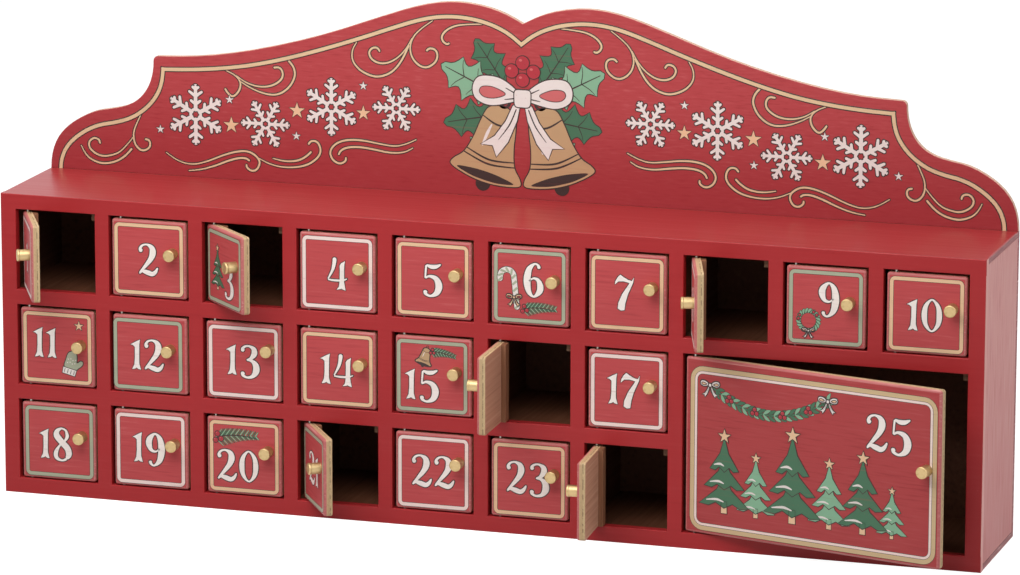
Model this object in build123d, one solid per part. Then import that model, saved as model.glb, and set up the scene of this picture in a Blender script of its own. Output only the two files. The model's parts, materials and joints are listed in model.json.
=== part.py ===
from build123d import *
import math
import os

# Wooden advent calendar: a shallow case of 25 treat boxes behind pin-hung doors, with a scrolled
# crest rising from its back board. Millimetres, front towards -Y, +Z up, origin under the middle
# of the case on the surface that it stands on.

# Front grid: ten columns and three rows of near-square openings
column_count = 10
row_count = 3
opening_width = 48.5
opening_height = 47.1
mullion_width = 8.5
end_stile_width = 9.25
top_rail_height = 8.85
middle_rail_height = 8.9
bottom_rail_height = 9.15

# The large door takes the last columns of the lower rows
large_columns = 3
large_rows = 2

# Case
case_depth = 81.7
back_thickness = 3.8
side_thickness = 6.0
board_lip_height = 3.5
divider_thickness = 5.0
shelf_thickness = 5.0

# Crest of the back board: height above the case, and its right half as shares of the half width
# and of that height, from the case's corner to the shoulder and from the shoulder to the centre
crest_height = 112.0
shoulder_radius = 3.0
shoulder_shares = (0.776, 0.627)
flank_shares = [(1.0, 0.0), (0.985, 0.157), (0.926, 0.288), (0.898, 0.318), (0.86, 0.338)]
neck_shares = [(0.8135, 0.384), (0.789, 0.457)]
hump_shares = [(0.69, 0.637), (0.54, 0.702), (0.395, 0.808), (0.262, 0.931)]
cusp_shares = [(0.138, 1.0), (0.04, 0.956), (0.0, 0.906)]
rise_direction = (0, 1)
end_pulls = (1, 1)
inward_direction = (-1, 0.03)
cusp_direction = (-0.88, -0.47)

# Doors: flush with the frame, each turning on two pins in the middle of its thickness
door_thickness = 5.0
side_gap = 1.2
top_gap = 1.5
bottom_gap = 0.7
door_corner_radius = 1.6
door_bevel = 1.4
hinge_overhang = 4.7
swing_air = 1.4
cleat_thickness = 2.7
cleat_width = 7.0
cleat_offset = 0.8

# How far each door stands open, in degrees; the others are shut
open_degrees = {1: 62.5, 3: 44.0, 8: 72.0, 16: 88.0, 21: 56.0, 24: 86.0, 25: 13.5}

# Hinge pins
pin_radius = 0.75
pin_running_clearance = 0.05
pin_in_rail = 3.5
pin_in_door = 6.0
pin_end_air = 0.3

# Knobs
knob_radius = 3.5
knob_length = 7.4
knob_chamfer = 0.6
spigot_radius = 1.5
spigot_length = 3.5
knob_from_free_edge = 8.1
knob_height_share = 0.592
large_knob_height_share = 0.549

# Knobs set by hand a little off the usual place: how far to the right and how far up
knob_shifts = {9: (-1, -0.5), 11: (0, -2), 12: (-2, -0.5), 13: (1.2, 4), 15: (-0.8, -1), 22: (0.6, 2.5)}
usual_shift = (0, 0)

# Stop blocks in the upper right corner behind each door
stop_air = 0.2
stop_reach = 3.75
stop_drop = 4.8
stop_depth = 5.0

cut_overrun = 2.0

# Worked-out sizes
frame_thickness = door_thickness + stop_air
column_pitch = opening_width + mullion_width
row_pitch = opening_height + middle_rail_height
small_columns = column_count - large_columns
case_width = 2 * end_stile_width + column_count * column_pitch - mullion_width
case_height = bottom_rail_height + row_count * row_pitch - middle_rail_height + top_rail_height
half_width = case_width / 2
front = -case_depth / 2
frame_back = front + frame_thickness
rear = case_depth / 2
back_front = rear - back_thickness
inner_half_width = half_width - side_thickness
inner_top = case_height - top_rail_height
pin_inset = math.hypot(hinge_overhang, door_thickness / 2) + swing_air
pin_y = front + door_thickness / 2

frame_span = (front, frame_back)
inner_span = (frame_back, back_front)
full_width = (-half_width, half_width)


def column_left(column):
    return -half_width + end_stile_width + column * column_pitch


def row_floor(level):
    return bottom_rail_height + level * row_pitch


def block(x, y, z):
    middle = Pos((x[0] + x[1]) / 2, (y[0] + y[1]) / 2, (z[0] + z[1]) / 2)
    return middle * Box(x[1] - x[0], y[1] - y[0], z[1] - z[0])


def upright_cylinder(radius, x, y, z):
    return Pos(x, y, (z[0] + z[1]) / 2) * Cylinder(radius, z[1] - z[0])


large_left = column_left(small_columns)
large_right = column_left(column_count - 1) + opening_width
large_top = row_floor(large_rows - 1) + opening_height
tall_mullion = (large_left - mullion_width, large_left)

# Openings, numbered along each row from the top: number, left, right, bottom, top
openings = []
for level in reversed(range(row_count)):
    columns = small_columns if level < large_rows else column_count
    for column in range(columns):
        x_left = column_left(column)
        z_floor = row_floor(level)
        number = len(openings) + 1
        openings.append((number, x_left, x_left + opening_width, z_floor, z_floor + opening_height))
openings.append((len(openings) + 1, large_left, large_right, row_floor(0), large_top))

# Hinge pins, one below and one above each door, set in the rails
pins = []
for number, x_left, x_right, z_floor, z_top in openings:
    pin_x = x_left + pin_inset
    low_span = (z_floor - pin_in_rail, z_floor + bottom_gap + pin_in_door)
    high_span = (z_top - top_gap - pin_in_door, z_top + pin_in_rail)
    pins.append(upright_cylinder(pin_radius, pin_x, pin_y, low_span))
    pins.append(upright_cylinder(pin_radius, pin_x, pin_y, high_span))


# Face frame: rails right across, stiles and mullions butted between them
def drilled_rail(x, z):
    rail = block(x, frame_span, z)
    for pin in pins:
        pin_box = pin.bounding_box()
        reaches = pin_box.max.Z > z[0] and pin_box.min.Z < z[1]
        if reaches and x[0] < pin_box.center().X < x[1]:
            rail = rail - pin
    return rail


frame = [drilled_rail(full_width, (0, bottom_rail_height))]
for level in range(1, row_count):
    rail_right = tall_mullion[0] if level < large_rows else half_width
    rail_span = (row_floor(level) - middle_rail_height, row_floor(level))
    frame.append(drilled_rail((-half_width, rail_right), rail_span))
frame.append(drilled_rail(full_width, (inner_top, case_height)))

for level in range(row_count):
    upright_span = (row_floor(level), row_floor(level) + opening_height)
    frame.append(block((-half_width, column_left(0)), frame_span, upright_span))
    mullions = small_columns if level < large_rows else column_count
    for column in range(1, mullions):
        x_right = column_left(column)
        frame.append(block((x_right - mullion_width, x_right), frame_span, upright_span))
    if level >= large_rows:
        frame.append(block((half_width - end_stile_width, half_width), frame_span, upright_span))
large_span = (row_floor(0), large_top)
frame.append(block(tall_mullion, frame_span, large_span))
frame.append(block((half_width - end_stile_width, half_width), frame_span, large_span))


# Case boards: the top and bottom are rabbeted over the ends of the sides
def rabbeted_board(z, rabbet):
    board = block(full_width, inner_span, z)
    cut_y = (frame_back - cut_overrun, back_front + cut_overrun)
    board = board - block((-half_width - cut_overrun, -inner_half_width), cut_y, rabbet)
    return board - block((inner_half_width, half_width + cut_overrun), cut_y, rabbet)


side_bottom = board_lip_height
side_top = case_height - board_lip_height
top_board = rabbeted_board((inner_top, case_height), (inner_top - cut_overrun, side_top))
bottom_board = rabbeted_board(
    (0, bottom_rail_height), (side_bottom, bottom_rail_height + cut_overrun)
)
left_side = block((-half_width, -inner_half_width), inner_span, (side_bottom, side_top))
right_side = block((inner_half_width, half_width), inner_span, (side_bottom, side_top))

# Shelves lie level with the rails' upper edges; dividers stand behind the mullions
tall_divider_middle = (tall_mullion[0] + tall_mullion[1]) / 2
shelves = []
for level in range(1, row_count):
    shelf_right = inner_half_width
    if level < large_rows:
        shelf_right = tall_divider_middle - divider_thickness / 2
    shelf_span = (row_floor(level) - shelf_thickness, row_floor(level))
    shelves.append(block((-inner_half_width, shelf_right), inner_span, shelf_span))


def ceiling_above(z_top):
    if z_top > inner_top - middle_rail_height:
        return inner_top
    return z_top + middle_rail_height - shelf_thickness


def divider(middle, z):
    return block((middle - divider_thickness / 2, middle + divider_thickness / 2), inner_span, z)


dividers = []
for level in range(row_count):
    z_ceiling = ceiling_above(row_floor(level) + opening_height)
    walls = small_columns if level < large_rows else column_count
    for column in range(1, walls):
        wall_middle = column_left(column) - mullion_width / 2
        dividers.append(divider(wall_middle, (row_floor(level), z_ceiling)))
dividers.append(divider(tall_divider_middle, (row_floor(0), ceiling_above(large_top))))

# Stop blocks, each glued under the board above, beside the wall to its right and on the frame
wall_recess = (mullion_width - divider_thickness) / 2
stops = []
for number, x_left, x_right, z_floor, z_top in openings:
    is_last_column = x_right > half_width - column_pitch / 2
    stop_wall = inner_half_width if is_last_column else x_right + wall_recess
    stop_y = (frame_back, frame_back + stop_depth)
    stop_z = (z_top - stop_drop, ceiling_above(z_top))
    stops.append(block((x_right - stop_reach, stop_wall), stop_y, stop_z))


# Back board with its crest: convex and concave curves to a shoulder, then a hump to the centre
def crest_point(share):
    return Vector(share[0] * half_width, case_height + share[1] * crest_height)


shoulder = crest_point(shoulder_shares)
shoulder_low = shoulder - Vector(0, shoulder_radius)
shoulder_high = shoulder - Vector(shoulder_radius, 0)
flank_points = [crest_point(share) for share in flank_shares + neck_shares] + [shoulder_low]
flank_ends = [rise_direction, rise_direction]
hump_points = [crest_point(share) for share in hump_shares + cusp_shares]
right_half = [
    Line((0, 0), (half_width, 0)),
    Line((half_width, 0), (half_width, case_height)),
    Spline(flank_points, tangents=flank_ends, tangent_scalars=end_pulls),
    TangentArc(shoulder_low, shoulder_high, tangent=rise_direction),
    Spline([shoulder_high] + hump_points, tangents=[inward_direction, cusp_direction]),
]
left_half = [mirror(edge, about=Plane.YZ) for edge in right_half]
rear_plane = Plane(origin=(0, rear, 0), x_dir=(1, 0, 0), z_dir=(0, -1, 0))
back_board = extrude(rear_plane * make_face(right_half + left_half), back_thickness)


# Knob: a plain turned cylinder with a spigot, its shoulder on the door's front
def knob_at(x, z):
    tip = -knob_length
    profile = Polyline(
        (0, spigot_length),
        (spigot_radius, spigot_length),
        (spigot_radius, 0),
        (knob_radius, 0),
        (knob_radius, tip + knob_chamfer),
        (knob_radius - knob_chamfer, tip),
        (0, tip),
        close=True,
    )
    return Pos(x, front, z) * revolve(make_face(profile), axis=Axis.Y)


# Door panel: bevelled front edges, a cleat along the hinge side of its back, and pin bores
def panel_at(pin_x, x, z):
    width = x[1] - x[0]
    height = z[1] - z[0]
    centre = Vector((x[0] + x[1]) / 2, front + door_thickness, (z[0] + z[1]) / 2)
    door_plane = Plane(origin=centre, x_dir=(1, 0, 0), z_dir=(0, -1, 0))
    panel = extrude(door_plane * RectangleRounded(width, height, door_corner_radius), door_thickness)
    front_face = panel.faces().sort_by(Axis.Y)[0]
    panel = chamfer(front_face.edges(), door_bevel)
    cleat_left = pin_x + cleat_offset
    cleat_y = (front + door_thickness, front + door_thickness + cleat_thickness)
    panel = panel + block((cleat_left, cleat_left + cleat_width), cleat_y, z)
    bore_radius = pin_radius + pin_running_clearance
    bore_depth = pin_in_door + pin_end_air
    panel = panel - upright_cylinder(bore_radius, pin_x, pin_y, (z[0] - cut_overrun, z[0] + bore_depth))
    return panel - upright_cylinder(bore_radius, pin_x, pin_y, (z[1] - bore_depth, z[1] + cut_overrun))


pieces = {
    "face_frame": Compound(frame),
    "top_board": top_board,
    "bottom_board": bottom_board,
    "left_side": left_side,
    "right_side": right_side,
    "back_board": back_board,
    "shelves": Compound(shelves),
    "dividers": Compound(dividers),
    "door_stops": Compound(stops),
    "hinge_pins": Compound(pins),
}

for number, x_left, x_right, z_floor, z_top in openings:
    pin_x = x_left + pin_inset
    door_x = (pin_x - hinge_overhang, x_right - side_gap)
    door_z = (z_floor + bottom_gap, z_top - top_gap)
    is_large = number == len(openings)
    height_share = large_knob_height_share if is_large else knob_height_share
    shift_x, shift_z = knob_shifts.get(number, usual_shift)
    knob_x = door_x[1] - knob_from_free_edge + shift_x
    knob_z = door_z[0] + height_share * (door_z[1] - door_z[0]) + shift_z
    knob = knob_at(knob_x, knob_z)
    panel = panel_at(pin_x, door_x, door_z) - knob
    hinge_line = Axis((pin_x, pin_y, 0), (0, 0, 1))
    swing = -open_degrees.get(number, 0)
    pieces[f"door_{number:02d}_panel"] = panel.rotate(hinge_line, swing)
    pieces[f"door_{number:02d}_knob"] = knob.rotate(hinge_line, swing)

os.makedirs("parts", exist_ok=True)
for name, piece in pieces.items():
    export_step(piece, os.path.join("parts", name + ".step"))
print("case", case_width, case_height, case_depth, "nodes", len(pieces))
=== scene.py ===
import json
import math
import random

import bmesh
import bpy
from mathutils import Matrix, Vector


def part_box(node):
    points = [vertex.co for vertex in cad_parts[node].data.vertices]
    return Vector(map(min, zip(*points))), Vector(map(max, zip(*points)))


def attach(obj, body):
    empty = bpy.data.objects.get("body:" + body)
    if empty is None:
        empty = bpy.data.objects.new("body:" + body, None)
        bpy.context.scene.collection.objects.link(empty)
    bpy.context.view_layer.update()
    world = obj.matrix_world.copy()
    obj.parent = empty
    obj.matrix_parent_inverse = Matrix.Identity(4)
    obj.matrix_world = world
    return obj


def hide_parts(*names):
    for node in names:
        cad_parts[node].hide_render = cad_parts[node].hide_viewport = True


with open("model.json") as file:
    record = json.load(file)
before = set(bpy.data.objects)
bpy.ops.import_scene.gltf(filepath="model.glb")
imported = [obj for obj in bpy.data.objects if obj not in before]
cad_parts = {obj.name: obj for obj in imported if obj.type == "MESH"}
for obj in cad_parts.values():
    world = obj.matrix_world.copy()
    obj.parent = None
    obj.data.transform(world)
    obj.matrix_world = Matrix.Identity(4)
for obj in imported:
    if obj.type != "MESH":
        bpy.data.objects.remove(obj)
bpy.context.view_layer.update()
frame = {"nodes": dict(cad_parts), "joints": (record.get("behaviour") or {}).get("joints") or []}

nodes = frame["nodes"]
mm = 0.001
frameLow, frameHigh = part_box("face_frame")
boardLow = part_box("back_board")[0]
caseTop = frameHigh.z
upright = Matrix.Rotation(math.radians(90), 4, "X")  # drawing plane to a face that looks forward


class Wire:  # a socket; sums written on it become Math nodes
    def __init__(self, graph, socket):
        self.graph = graph
        self.socket = socket

    def math(self, operation, first, second=0.0):
        return self.graph.node("ShaderNodeMath", {"operation": operation}, {0: first, 1: second})

    def __add__(self, other):
        return self.math("ADD", self, other)

    def __radd__(self, other):
        return self.math("ADD", other, self)

    def __sub__(self, other):
        return self.math("SUBTRACT", self, other)

    def __rsub__(self, other):
        return self.math("SUBTRACT", other, self)

    def __mul__(self, other):
        return self.math("MULTIPLY", self, other)

    def __rmul__(self, other):
        return self.math("MULTIPLY", other, self)

    def __truediv__(self, other):
        return self.math("DIVIDE", self, other)

    def __pow__(self, other):
        return self.math("POWER", self, other)

    def __gt__(self, other):
        return self.math("GREATER_THAN", self, other)

    def __abs__(self):
        return self.math("ABSOLUTE", self)

    def least(self, other):
        return self.math("MINIMUM", self, other)

    def most(self, other):
        return self.math("MAXIMUM", self, other)

    def between(self, low, high):  # eased from 0 at low to 1 at high
        ends = {"Value": self, "From Min": low, "From Max": high}
        return self.graph.node("ShaderNodeMapRange", {"interpolation_type": "SMOOTHSTEP"}, ends)


def findSocket(sockets, key):
    if isinstance(key, int):
        return sockets[key]
    return next(socket for socket in sockets if socket.name == key and socket.enabled)


class Graph:  # a node tree and the one way to add to it
    def __init__(self, tree):
        self.tree = tree

    def node(self, kind, settings=None, sockets=None, out=0):
        made = self.tree.nodes.new(kind)
        for name, value in (settings or {}).items():
            setattr(made, name, value)
        for key, value in (sockets or {}).items():
            self.feed(findSocket(made.inputs, key), value)
        if out is None:
            return made
        if isinstance(out, tuple):
            return [Wire(self, findSocket(made.outputs, key)) for key in out]
        return Wire(self, findSocket(made.outputs, out))

    def feed(self, socket, value):
        if isinstance(value, list):
            for wire in value:
                self.feed(socket, wire)
        elif isinstance(value, Wire):
            self.tree.links.new(value.socket, socket)
        else:
            socket.default_value = value

    def mix(self, share, first, second):
        sockets = {"Factor": share, "A": first, "B": second}
        return self.node("ShaderNodeMix", {"data_type": "RGBA"}, sockets, "Result")

    def noise(self, place, spread, detail):  # spread is how often it changes in a metre, each way
        sockets = {0: place, 1: spread}
        stretched = self.node("ShaderNodeVectorMath", {"operation": "MULTIPLY"}, sockets)
        return self.node("ShaderNodeTexNoise", {}, {"Vector": stretched, "Scale": 1.0, "Detail": detail})

    def split(self, place):
        return self.node("ShaderNodeSeparateXYZ", {}, {0: place}, ("X", "Y", "Z"))

    def join(self, x, y, z):
        return self.node("ShaderNodeCombineXYZ", {}, {0: x, 1: y, 2: z})


def tint(red, green, blue):  # a screen colour, 0 to 255, as the linear colour that a socket takes
    def linear(part):
        share = part / 255
        return share / 12.92 if share <= 0.04045 else ((share + 0.055) / 1.055) ** 2.4

    return (linear(red), linear(green), linear(blue), 1.0)


def newFinish(name):
    material = bpy.data.materials.new(name)
    material.use_nodes = True
    material.node_tree.nodes.clear()
    return material, Graph(material.node_tree)


def closeFinish(graph, sockets, height, relief):
    bump = graph.node("ShaderNodeBump", {}, {"Strength": 1.0, "Distance": relief * mm, "Height": height})
    shader = graph.node("ShaderNodeBsdfPrincipled", {}, {**sockets, "Normal": bump})
    graph.node("ShaderNodeOutputMaterial", {}, {"Surface": shader}, None)


def grainPlace(graph, order):  # along, across and through the grain, in metres
    if order == "own":
        return graph.node("ShaderNodeAttribute", {"attribute_name": "grainPlace"}, {}, "Vector")
    parts = dict(zip("xyz", graph.split(graph.node("ShaderNodeTexCoord", {}, {}, "Object"))))
    return graph.join(*(parts[axis] for axis in order))


woodSheen = 0.25
paintLooks = {  # base, deep in the grain, rubbed pale; order: the grain's run; fine: marks in a metre; foot: painted shade towards a board's foot
    "framePaint": {
        "order": "xzy", "base": (174, 44, 47), "deep": (156, 36, 40), "pale": (186, 64, 65),
        "fine": (30, 700, 700), "streak": 0.3, "rub": 0.25, "rough": 0.38, "relief": 0.006,
    },
    "topPaint": {
        "order": "xyz", "base": (166, 52, 53), "deep": (152, 42, 45), "pale": (178, 72, 71),
        "fine": (9, 420, 420), "streak": 0.25, "rub": 0.2, "rough": 0.34, "coat": 0.1, "relief": 0.002,
    },
    "sidePaint": {
        "order": "zyx", "base": (221, 153, 148), "deep": (180, 84, 85), "pale": (230, 188, 180),
        # painted shade: darker towards the side's foot
        "foot": (0, 0.16, 0.5),
        "fine": (36, 900, 900), "streak": 0.75, "rub": 0.8, "rough": 0.52, "relief": 0.02,
    },
    "frameEndPaint": {
        "order": "zyx", "base": (228, 162, 155), "deep": (192, 104, 102), "pale": (240, 206, 197),
        "fine": (24, 700, 700), "streak": 0.7, "rub": 0.8, "rough": 0.52, "relief": 0.02,
    },
    # dark paint of the boards' ends; on the back board's edges below the case top it is painted shade
    "endPaint": {
        "order": "yzx", "base": (144, 70, 72), "deep": (108, 42, 46), "pale": (218, 172, 164),
        "fine": (60, 900, 900), "streak": 0.6, "rub": 0.95, "rough": 0.5, "relief": 0.02,
    },
    "crestPaint": {
        "order": "own", "base": (183, 70, 73), "deep": (148, 38, 45), "pale": (202, 106, 106),
        # painted shade: darker towards the crest's foot
        "foot": (1, 0.07, 0.58),
        "fine": (120, 820, 820), "streak": 0.5, "rub": 0.5, "rough": 0.46, "relief": 0.015,
    },
    "doorPaint": {
        "order": "own", "base": (193, 77, 79), "deep": (158, 52, 58), "pale": (207, 112, 111),
        "fine": (50, 800, 800), "streak": 0.5, "rub": 0.45, "rough": 0.42, "relief": 0.012,
    },
    "largePaint": {
        "order": "own", "base": (177, 68, 69), "deep": (138, 42, 47), "pale": (188, 96, 94),
        "fine": (50, 800, 800), "streak": 0.55, "rub": 0.45, "rough": 0.42, "relief": 0.012,
    },
    "bevelPaint": {
        "order": "own", "base": (198, 112, 110), "deep": (162, 70, 72), "pale": (222, 166, 158),
        "fine": (40, 900, 900), "streak": 0.5, "rub": 0.7, "rough": 0.5, "relief": 0.02,
    },
    "backWood": {
        "order": "own", "base": (194, 148, 121), "deep": (154, 108, 84), "pale": (214, 175, 146),
        "fine": (12, 620, 620), "streak": 0.7, "rub": 0.6, "rough": 0.62, "relief": 0.03,
    },
    # painted shade: the door back's wood made darker for the cleat
    "cleatWood": {
        "order": "own", "base": (134, 90, 64), "deep": (98, 60, 40), "pale": (160, 116, 88),
        "fine": (500, 14, 500), "streak": 0.7, "rub": 0.6, "rough": 0.62, "relief": 0.03,
    },
    "innerWood": {
        "order": "yxz", "base": (88, 52, 34), "deep": (58, 33, 21), "pale": (110, 72, 50),
        "fine": (14, 420, 420), "streak": 0.8, "rub": 0.5, "rough": 0.6, "relief": 0.03,
    },
    "stopWood": {
        "order": "xyz", "base": (136, 108, 84), "deep": (104, 76, 56), "pale": (162, 134, 108),
        "fine": (90, 1100, 1100), "streak": 0.7, "rub": 0.5, "rough": 0.65, "relief": 0.03,
    },
}
grainMake = {
    "cloud": (16, 22, 22), "speck": (520, 520, 520), "deepFrom": (0.5, 0.74), "paleFrom": (0.48, 0.26),
    "speckFrom": (0.77, 0.83), "coatRough": 0.2,
}


def brushedWood(name, look):
    make = grainMake
    material, graph = newFinish(name)
    place = grainPlace(graph, look["order"])
    marks = graph.noise(place, look["fine"], 5.0)  # brush marks and pores along the grain
    cloud = graph.noise(place, make["cloud"], 2.0)  # slow change of tone over the board
    speck = graph.noise(place, make["speck"], 1.0)
    strength = cloud.between(0.3, 0.7) * 0.7 + 0.3
    deep = marks.between(*make["deepFrom"]) * strength * look["streak"]
    pale = marks.between(*make["paleFrom"]) * (1.3 - strength) * look["rub"]
    colour = graph.mix(deep, tint(*look["base"]), tint(*look["deep"]))
    colour = graph.mix(pale, colour, tint(*look["pale"]))
    colour = graph.mix(speck.between(*make["speckFrom"]) * 0.5, colour, tint(*look["pale"]))
    if "foot" in look:  # painted shade: deeper towards a board's foot, where less light falls
        axis, height, share = look["foot"]
        low = graph.split(place)[axis].between(height, 0.0)
        colour = graph.mix(low * share, colour, tint(*look["deep"]))
    rough = look["rough"] + (marks - 0.5) * 0.2 + (cloud - 0.5) * 0.1
    sockets = {"Base Color": colour, "Roughness": rough, "Specular IOR Level": woodSheen}
    sockets.update({"Coat Weight": look.get("coat", 0.0), "Coat Roughness": make["coatRough"]})
    closeFinish(graph, sockets, marks, look["relief"])
    return material


plyLooks = {
    "doorEdge": {"base": (208, 180, 136), "deep": (164, 124, 88), "overspray": 0.7},
    "crestEdge": {"base": (232, 200, 176), "deep": (196, 158, 134), "overspray": 0.5},
}
plyMake = {  # depths in millimetres from the painted face
    "coreFront": (1.9, 2.2), "coreBack": (3.7, 3.5), "glueLine": 3.6, "dustReach": (2.2, 1.2),
    "glue": (104, 72, 50), "dust": (196, 112, 104), "wobble": (70, 70, 260), "pores": (900, 900, 1600),
    "stitch": (420, 420, 420),
}


def plyEdge(name, look):  # plies seen on edge, the front one dusted with paint
    make = plyMake
    material, graph = newFinish(name)
    place = grainPlace(graph, "own")
    wobble = graph.noise(place, make["wobble"], 3.0)
    pores = graph.noise(place, make["pores"], 3.0)
    stitch = graph.noise(place, make["stitch"], 2.0)  # the glue line shows here and there
    depth = graph.split(place)[2] * -1000 + (wobble - 0.5) * 0.5
    core = depth.between(*make["coreFront"]) * depth.between(*make["coreBack"])
    worn = core * 0.3 + pores.between(0.5, 0.75) * 0.35
    colour = graph.mix(worn, tint(*look["base"]), tint(*look["deep"]))
    glue = abs(depth - make["glueLine"]).between(0.4, 0.15) * stitch.between(0.38, 0.6)
    colour = graph.mix(glue * 0.7, colour, tint(*make["glue"]))
    dust = depth.between(*make["dustReach"]) * (0.45 + wobble * 0.6)
    colour = graph.mix(dust * look["overspray"], colour, tint(*make["dust"]))
    closeFinish(graph, {"Base Color": colour, "Roughness": pores * 0.2 + 0.55}, pores, 0.04)
    return material


brassMake = {
    "base": (192, 167, 122), "tarnished": (164, 135, 88), "rough": 0.36, "rings": (5200, 4200, 1),
    "spots": (420, 420, 420),
}


def turnedBrass(name):
    make = brassMake
    material, graph = newFinish(name)
    place = grainPlace(graph, "own")
    x, y, out = graph.split(place)
    radius = (x * x + y * y) ** 0.5
    tool = graph.noise(graph.join(radius, out, 0.0), make["rings"], 2.0)  # left by the lathe
    tarnish = graph.noise(place, make["spots"], 4.0)
    share = tarnish.between(0.45, 0.75) * 0.6
    colour = graph.mix(share, tint(*make["base"]), tint(*make["tarnished"]))
    rough = make["rough"] + tarnish * 0.14 + tool * 0.08
    closeFinish(graph, {"Base Color": colour, "Roughness": rough, "Metallic": 1.0}, tool, 0.012)
    return material


steelMake = {"base": (180, 176, 168), "dull": (136, 132, 124), "rough": 0.2, "drawn": (2600, 2600, 90)}


def brightSteel(name):
    make = steelMake
    material, graph = newFinish(name)
    drawn = graph.noise(grainPlace(graph, "xyz"), make["drawn"], 3.0)
    colour = graph.mix(drawn, tint(*make["base"]), tint(*make["dull"]))
    rough = drawn * 0.2 + make["rough"]
    closeFinish(graph, {"Base Color": colour, "Roughness": rough, "Metallic": 1.0}, drawn, 0.01)
    return material


inkTints = {
    "chalk": (255, 244, 237), "snow": (238, 228, 222), "blush": (249, 224, 216), "straw": (238, 197, 157),
    "cream": (228, 196, 156), "oat": (212, 183, 140), "tan": (194, 158, 117), "sage": (174, 178, 152),
    "mint": (134, 180, 146), "pine": (60, 106, 76), "line": (46, 28, 24), "berry": (176, 44, 56),
    "rose": (206, 104, 104),
}
inkMake = {
    "grain": (168, 74, 74), "shade": (90, 70, 60), "rough": 0.4, "marks": (15, 800, 800),
    "flecks": (700, 1300, 700), "clouds": (60, 60, 60),
}


def printedInk(name, base):  # printed colour that lets a little of the red grain through
    make = inkMake
    material, graph = newFinish(name)
    place = grainPlace(graph, "own")
    marks = graph.noise(place, make["marks"], 5.0)
    flecks = graph.noise(place, make["flecks"], 3.0)
    clouds = graph.noise(place, make["clouds"], 2.0)
    worn = marks.between(0.56, 0.78) * 0.22 + flecks.between(0.66, 0.8) * 0.3
    colour = graph.mix(worn, tint(*base), tint(*make["grain"]))
    colour = graph.mix(clouds.between(0.5, 0.8) * 0.1, colour, tint(*make["shade"]))
    closeFinish(graph, {"Base Color": colour, "Roughness": marks * 0.2 + make["rough"]}, marks, 0.008)
    return material


finishes = {name: brushedWood(name, look) for name, look in paintLooks.items()}
finishes.update({name: plyEdge(name, look) for name, look in plyLooks.items()})
finishes["knobBrass"] = turnedBrass("knobBrass")
finishes["pinSteel"] = brightSteel("pinSteel")
finishes.update({name: printedInk(name + "Ink", base) for name, base in inkTints.items()})
print("finishes made:", len(finishes))


sharpAngle = math.radians(15)


def addObject(name, data):
    made = bpy.data.objects.new(name, data)
    bpy.context.scene.collection.objects.link(made)
    return made


def newPiece(name, shape, slots, body, replaced=(), placement=None, offset=(0, 0, 0)):
    mesh = bpy.data.meshes.new(name)
    shape.normal_update()
    shape.to_mesh(mesh)
    shape.free()
    for finish in slots:
        mesh.materials.append(finishes[finish])
    mesh.polygons.foreach_set("use_smooth", [True] * len(mesh.polygons))
    mesh.set_sharp_from_angle(angle=sharpAngle)
    grain = mesh.attributes.new("grainPlace", "FLOAT_VECTOR", "POINT")
    shift = Vector(offset)
    grain.data.foreach_set("vector", [part for vertex in mesh.vertices for part in vertex.co + shift])
    if placement is not None:
        mesh.transform(placement)
    piece = addObject(name, mesh)
    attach(piece, body)
    if replaced:
        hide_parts(*replaced)
    return piece


copyMake = {"merge": 0.002, "flat": 0.4}  # millimetres, and degrees between faces taken as one
easeMake = {"sharp": 0.6, "steps": 2}  # sharp is in radians
nearby = 0.1 * mm  # how close to a plane counts as on it
squareOn = 0.9  # how much of a face's normal lies along an axis that it faces


def nodeCopy(name):  # a node's shape with its triangles merged back into flat faces
    shape = bmesh.new()
    shape.from_mesh(nodes[name].data)
    bmesh.ops.remove_doubles(shape, verts=shape.verts, dist=copyMake["merge"] * mm)
    flat = math.radians(copyMake["flat"])
    bmesh.ops.dissolve_limit(shape, angle_limit=flat, verts=shape.verts, edges=shape.edges)
    return shape


def ease(shape, width, wanted):  # rounds the sharp edges whose middle is wanted
    chosen = []
    for edge in shape.edges:
        middle = (edge.verts[0].co + edge.verts[1].co) / 2
        if len(edge.link_faces) == 2 and edge.calc_face_angle() > easeMake["sharp"] and wanted(middle):
            chosen.append(edge)
    bmesh.ops.bevel(
        shape, geom=chosen, offset=width * mm, offset_type="OFFSET", segments=easeMake["steps"],
        profile=0.5, affect="EDGES", clamp_overlap=True,
    )


def paintFaces(shape, choose):
    shape.normal_update()
    for face in shape.faces:
        face.material_index = choose(face.normal, face.calc_center_median())


def atCaseEnd(normal, centre):
    return abs(normal.x) > squareOn and abs(centre.x) > frameHigh.x - nearby


# The doors as they hang: each one's pin, swing and shut outline, read from its node
doorMake = {
    "thickness": 5.0, "corner": 1.6, "bevel": 1.4, "bevelSteps": 7, "backEase": 0.45, "cornerSteps": 5,
    "cleatThickness": 2.7, "cleatWidth": 7.0, "cleatFromPin": 0.8, "cleatEase": 0.35, "cleatSunk": 0.4,
    "hingeGap": 2.0235, "sideGap": 1.2, "topGap": 1.5, "bottomGap": 0.7, "grainShift": 3,
}


def shutBox(name, unswing):
    points = [unswing @ vertex.co for vertex in nodes[name].data.vertices]
    low = Vector([min(point[axis] for point in points) for axis in range(3)])
    high = Vector([max(point[axis] for point in points) for axis in range(3)])
    return low, high


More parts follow.
